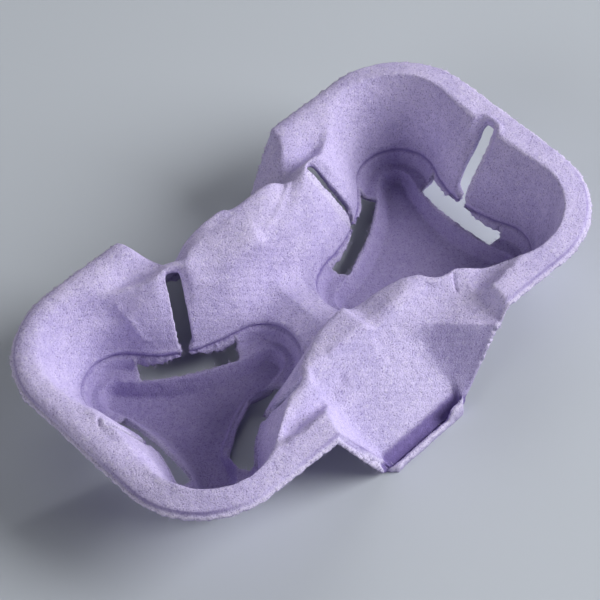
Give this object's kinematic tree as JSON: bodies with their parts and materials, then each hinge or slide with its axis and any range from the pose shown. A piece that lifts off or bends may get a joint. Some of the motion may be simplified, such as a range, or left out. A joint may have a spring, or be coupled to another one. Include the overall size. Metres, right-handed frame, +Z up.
{
  "type": "two cup carrier tray",
  "caption": "Moulded pulp tray that carries a pair of drinks cups side by side in lobed pockets with slit flaps, joined by a bridge with finger chutes.",
  "frame": {"origin": "centre of the footprint, on the plane that the tray stands on", "axes": "+X along the tray's length from one cup pocket to the other, +Y across the width, +Z up out of the pockets"},
  "size_m": [0.215, 0.1264, 0.0455],
  "materials": {
    "pulp": "rough fibrous moulded paper pulp, lavender"
  },
  "bodies": {
    "root": {"carrier_tray": "pulp"}
  },
  "joints": []
}
